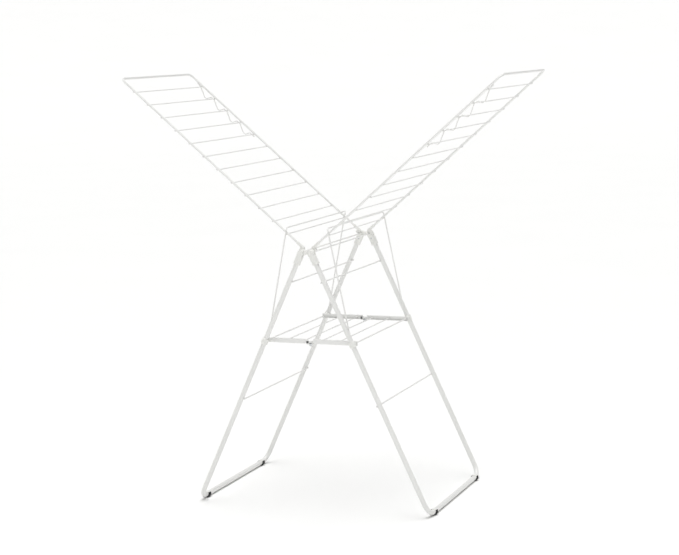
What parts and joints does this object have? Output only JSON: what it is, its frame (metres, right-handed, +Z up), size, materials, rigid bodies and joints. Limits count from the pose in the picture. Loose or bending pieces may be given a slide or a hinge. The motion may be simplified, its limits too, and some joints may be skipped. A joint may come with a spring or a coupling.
{
  "type": "clothes drying rack",
  "caption": "Folding white steel clothes drying rack with crossed leg frames, two raised wings, wire wing props, a folding shelf and black rubber foot pads",
  "frame": {"origin": "centre of the footprint, on the floor", "axes": "+Z up; +X to the right, across the open legs; +Y away from the viewer, along the hinge rods"},
  "size_m": [1.3084, 0.5892, 1.4109],
  "materials": {
    "white_powder_coated_steel": "satin powder coat",
    "white_moulded_plastic": "fine moulded texture",
    "black_rubber": "matte",
    "zinc_plated_steel": "bright zinc plate"
  },
  "bodies": {
    "hinge_head": {"near_hinge_link": "white_moulded_plastic", "far_hinge_link": "white_moulded_plastic", "left_hinge_rod": "white_powder_coated_steel", "right_hinge_rod": "white_powder_coated_steel", "hinge_rod_caps": "white_moulded_plastic"},
    "left_leg_frame": {"left_leg_tube": "white_powder_coated_steel", "left_upper_brace": "white_powder_coated_steel", "left_lower_brace": "white_powder_coated_steel", "left_near_socket": "white_moulded_plastic", "left_far_socket": "white_moulded_plastic", "left_socket_screws": "zinc_plated_steel", "left_near_bracket": "white_moulded_plastic", "left_far_bracket": "white_moulded_plastic", "left_foot_clips": "white_moulded_plastic", "left_foot_pads": "black_rubber", "left_shelf_rod": "white_powder_coated_steel"},
    "left_wing": {"left_wing_frame": "white_powder_coated_steel", "left_wing_wires": "white_powder_coated_steel", "left_hanger_wire": "white_powder_coated_steel", "left_wing_near_end": "white_moulded_plastic", "left_wing_far_end": "white_moulded_plastic"},
    "left_wing_prop": {"left_prop": "white_powder_coated_steel"},
    "left_shelf_half": {"left_shelf_near_bar": "white_powder_coated_steel", "left_shelf_far_bar": "white_powder_coated_steel", "left_shelf_wires": "white_powder_coated_steel", "shelf_rivets": "zinc_plated_steel"},
    "right_leg_frame": {"right_leg_tube": "white_powder_coated_steel", "right_upper_brace": "white_powder_coated_steel", "right_lower_brace": "white_powder_coated_steel", "right_near_socket": "white_moulded_plastic", "right_far_socket": "white_moulded_plastic", "right_socket_screws": "zinc_plated_steel", "right_near_bracket": "white_moulded_plastic", "right_far_bracket": "white_moulded_plastic", "right_foot_clips": "white_moulded_plastic", "right_foot_pads": "black_rubber"},
    "right_wing": {"right_wing_frame": "white_powder_coated_steel", "right_wing_wires": "white_powder_coated_steel", "right_hanger_wire": "white_powder_coated_steel", "right_wing_near_end": "white_moulded_plastic", "right_wing_far_end": "white_moulded_plastic"},
    "right_wing_prop": {"right_prop": "white_powder_coated_steel"},
    "right_shelf_half": {"right_shelf_near_bar": "white_powder_coated_steel", "right_shelf_far_bar": "white_powder_coated_steel", "right_shelf_wires": "white_powder_coated_steel", "right_shelf_rod": "white_powder_coated_steel"}
  },
  "joints": [
    {"name": "left_leg_hinge", "type": "hinge", "parent": "hinge_head", "child": "left_leg_frame", "pos_m": [-0.0165, 0, 0.84747], "axis": [0, 1, 0], "range_deg": [-24.74, 0]},
    {"name": "right_leg_hinge", "type": "hinge", "parent": "hinge_head", "child": "right_leg_frame", "pos_m": [0.0165, 0, 0.84747], "axis": [0, 1, 0], "range_deg": [0, 24.74]},
    {"name": "left_wing_hinge", "type": "hinge", "parent": "left_leg_frame", "child": "left_wing", "pos_m": [-0.0165, 0, 0.84747], "axis": [0, 1, 0], "range_deg": [-103, 4]},
    {"name": "right_wing_hinge", "type": "hinge", "parent": "right_leg_frame", "child": "right_wing", "pos_m": [0.0165, 0, 0.84747], "axis": [0, 1, 0], "range_deg": [-4, 103]},
    {"name": "left_prop_hinge", "type": "hinge", "parent": "left_leg_frame", "child": "left_wing_prop", "pos_m": [-0.14012, 0, 0.57918], "axis": [0, 1, 0], "range_deg": [0, 5]},
    {"name": "right_prop_hinge", "type": "hinge", "parent": "right_leg_frame", "child": "right_wing_prop", "pos_m": [0.14012, 0, 0.57918], "axis": [0, 1, 0], "range_deg": [-5, 0]},
    {"name": "left_shelf_hinge", "type": "hinge", "parent": "left_leg_frame", "child": "left_shelf_half", "pos_m": [-0.15193, 0, 0.55357], "axis": [0, 1, 0], "range_deg": [-62.8, 0]},
    {"name": "shelf_centre_hinge", "type": "hinge", "parent": "left_shelf_half", "child": "right_shelf_half", "pos_m": [0, 0, 0.54357], "axis": [0, 1, 0], "range_deg": [0, 175.09]}
  ],
  "couplings": [
    {"joint": "right_leg_hinge", "follows": "left_leg_hinge", "ratio": -1},
    {"joint": "left_shelf_hinge", "follows": "left_leg_hinge", "ratio": 2.5386},
    {"joint": "shelf_centre_hinge", "follows": "left_leg_hinge", "ratio": -7.0772}
  ]
}
